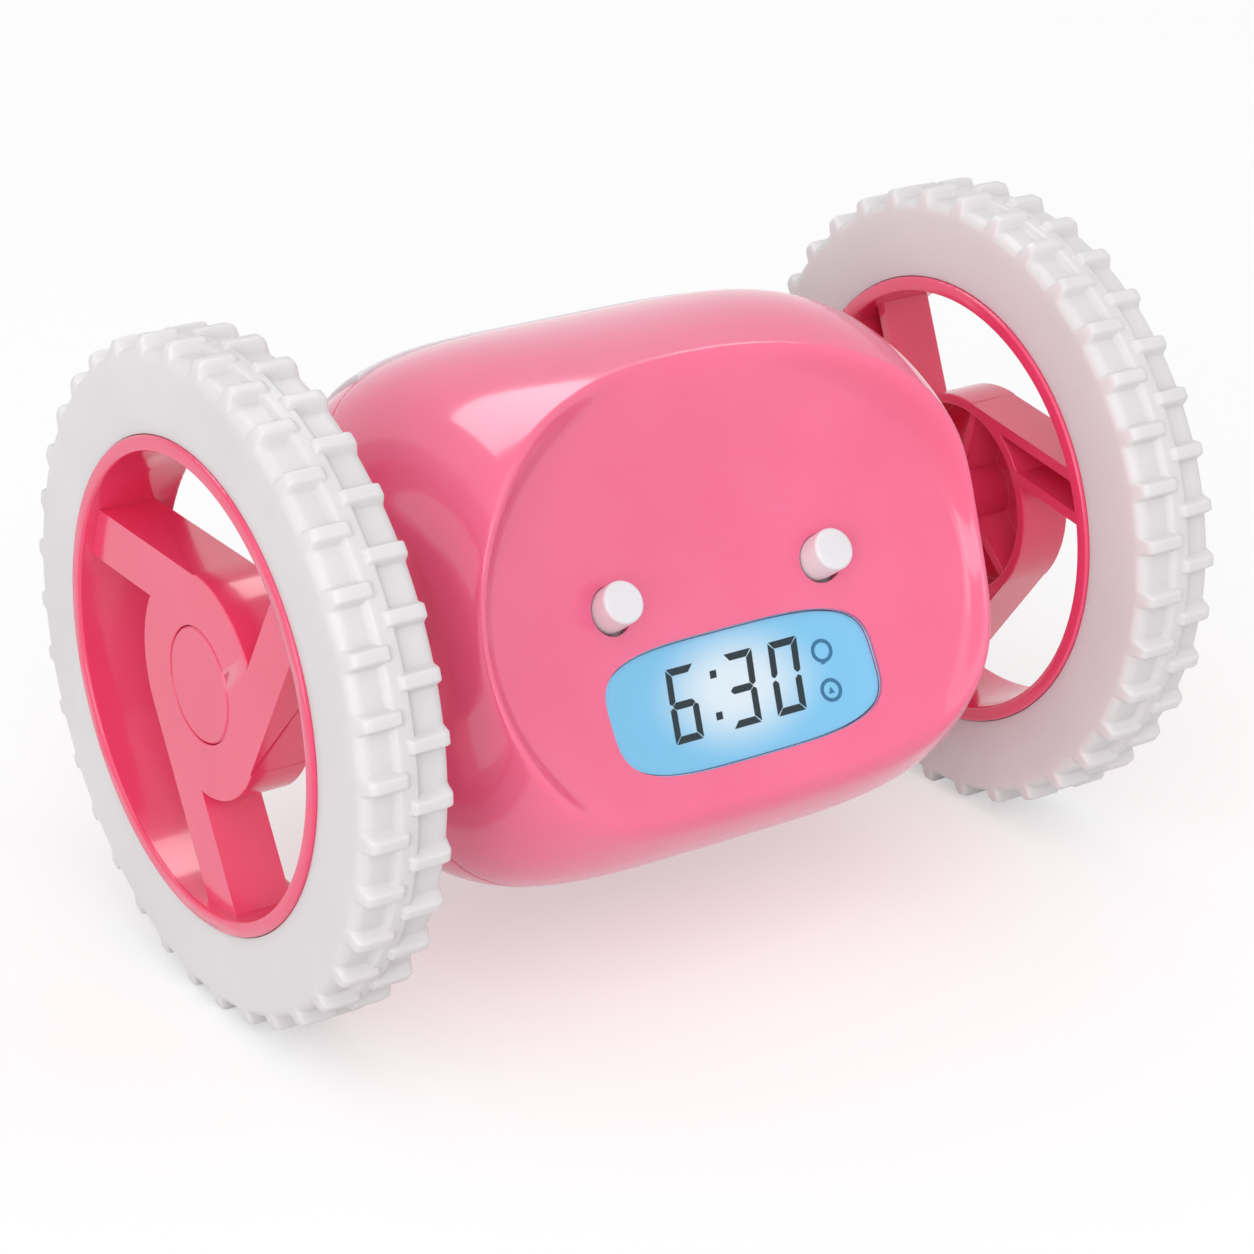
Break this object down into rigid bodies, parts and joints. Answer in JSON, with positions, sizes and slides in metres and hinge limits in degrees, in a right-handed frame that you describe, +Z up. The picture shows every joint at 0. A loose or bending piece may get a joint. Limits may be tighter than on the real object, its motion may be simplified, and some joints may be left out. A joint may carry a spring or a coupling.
{
  "type": "runaway alarm clock",
  "caption": "Barrel-shaped alarm clock with a display, white push buttons and snooze bar, hung between two driven treaded wheels.",
  "frame": {"origin": "on the floor below the middle of the axle", "axes": "+X along the axle to the clock's left as it faces the user, -Y is the front with the display, +Z is up"},
  "size_m": [0.1328, 0.089, 0.089],
  "materials": {
    "body_pink": "gloss moulded",
    "hub_pink": "gloss moulded",
    "tyre_white": "satin soft white",
    "button_white": "gloss moulded",
    "clear_window": "clear",
    "display": "display",
    "diffuser": "matt",
    "black_plastic": "matt",
    "grey_plastic": "matt",
    "gear_white": "satin",
    "board_green": "satin",
    "silicone": "matt",
    "steel": "satin",
    "spring_steel": "bright",
    "brass": "satin",
    "cell_wrap": "satin"
  },
  "bodies": {
    "body": {"front_shell": "body_pink", "rear_shell": "body_pink", "lcd_window": "clear_window", "lcd_panel": "display", "backlight": "diffuser", "contact_strips": "silicone", "lcd_holder": "black_plastic", "main_board": "board_green", "face_switches": "black_plastic", "board_parts": "black_plastic", "button_board": "board_green", "set_switches": "black_plastic", "snooze_board": "board_green", "snooze_switch": "black_plastic", "speaker": "grey_plastic", "battery_plates": "steel", "battery_springs": "spring_steel", "idler_pins": "steel", "axle_bushes": "button_white", "case_screws": "steel", "board_screws": "steel", "gearbox_screws": "steel", "battery_cell_1": "cell_wrap", "battery_cell_2": "cell_wrap", "battery_cell_3": "cell_wrap", "battery_cell_4": "cell_wrap", "left_gearbox_housing": "grey_plastic", "left_gearbox_cover": "grey_plastic", "left_motor": "steel", "right_gearbox_housing": "grey_plastic", "right_gearbox_cover": "grey_plastic", "right_motor": "steel"},
    "battery_door_body": {"battery_door": "body_pink"},
    "snooze_button_body": {"snooze_button": "button_white"},
    "left_eye_button_body": {"left_eye_button": "button_white"},
    "right_eye_button_body": {"right_eye_button": "button_white"},
    "hour_button_body": {"hour_button": "button_white"},
    "minute_button_body": {"minute_button": "button_white"},
    "time_button_body": {"time_button": "button_white"},
    "alarm_button_body": {"alarm_button": "button_white"},
    "left_wheel": {"left_tyre": "tyre_white", "left_hub": "hub_pink", "left_hub_cap": "hub_pink", "left_wheel_screw": "steel", "left_output_shaft": "steel", "left_output_gear": "gear_white"},
    "left_idler": {"left_compound_gear": "gear_white"},
    "left_motor_rotor": {"left_motor_shaft": "steel", "left_motor_pinion": "brass"},
    "right_wheel": {"right_tyre": "tyre_white", "right_hub": "hub_pink", "right_hub_cap": "hub_pink", "right_wheel_screw": "steel", "right_output_shaft": "steel", "right_output_gear": "gear_white"},
    "right_idler": {"right_compound_gear": "gear_white"},
    "right_motor_rotor": {"right_motor_shaft": "steel", "right_motor_pinion": "brass"}
  },
  "joints": [
    {"name": "left_wheel_spin", "type": "hinge", "parent": "body", "child": "left_wheel", "pos_m": [-0.0598, 0, 0.0445], "axis": [1, 0, 0], "continuous": true},
    {"name": "left_idler_spin", "type": "hinge", "parent": "body", "child": "left_idler", "pos_m": [-0.03, 0.01539, 0.04732], "axis": [1, 0, 0], "continuous": true},
    {"name": "left_motor_spin", "type": "hinge", "parent": "body", "child": "left_motor_rotor", "pos_m": [-0.029, 0.00737, 0.05862], "axis": [1, 0, 0], "continuous": true},
    {"name": "right_wheel_spin", "type": "hinge", "parent": "body", "child": "right_wheel", "pos_m": [0.0598, 0, 0.0445], "axis": [1, 0, 0], "continuous": true},
    {"name": "right_idler_spin", "type": "hinge", "parent": "body", "child": "right_idler", "pos_m": [0.03, 0.01539, 0.04732], "axis": [1, 0, 0], "continuous": true},
    {"name": "right_motor_spin", "type": "hinge", "parent": "body", "child": "right_motor_rotor", "pos_m": [0.029, 0.00737, 0.05862], "axis": [1, 0, 0], "continuous": true},
    {"name": "left_eye_press", "type": "slide", "parent": "body", "child": "left_eye_button_body", "axis": [0, 0.8192, -0.5736], "range_m": [0, 0.0008], "stiffness_N_per_m": 400, "springref_m": -0.00013},
    {"name": "right_eye_press", "type": "slide", "parent": "body", "child": "right_eye_button_body", "axis": [0, 0.8192, -0.5736], "range_m": [0, 0.0008], "stiffness_N_per_m": 400, "springref_m": -0.00013},
    {"name": "hour_press", "type": "slide", "parent": "body", "child": "hour_button_body", "axis": [0, -0.8746, 0.4848], "range_m": [0, 0.0008], "stiffness_N_per_m": 400, "springref_m": -0.00013},
    {"name": "minute_press", "type": "slide", "parent": "body", "child": "minute_button_body", "axis": [0, -0.8746, 0.4848], "range_m": [0, 0.0008], "stiffness_N_per_m": 400, "springref_m": -0.00013},
    {"name": "time_press", "type": "slide", "parent": "body", "child": "time_button_body", "axis": [0, -0.8746, 0.4848], "range_m": [0, 0.0008], "stiffness_N_per_m": 400, "springref_m": -0.00013},
    {"name": "alarm_press", "type": "slide", "parent": "body", "child": "alarm_button_body", "axis": [0, -0.8746, 0.4848], "range_m": [0, 0.0008], "stiffness_N_per_m": 400, "springref_m": -0.00013},
    {"name": "snooze_press", "type": "slide", "parent": "body", "child": "snooze_button_body", "axis": [0, -0.4848, -0.8746], "range_m": [0, 0.0008], "stiffness_N_per_m": 600, "springref_m": -0.00025},
    {"name": "door_lift", "type": "slide", "parent": "body", "child": "battery_door_body", "axis": [0, 0.3355, -0.9421], "range_m": [0, 0.025]}
  ],
  "couplings": [
    {"joint": "left_idler_spin", "follows": "left_wheel_spin", "ratio": -3.3333},
    {"joint": "left_motor_spin", "follows": "left_wheel_spin", "ratio": 12},
    {"joint": "right_idler_spin", "follows": "right_wheel_spin", "ratio": -3.3333},
    {"joint": "right_motor_spin", "follows": "right_wheel_spin", "ratio": 12}
  ]
}
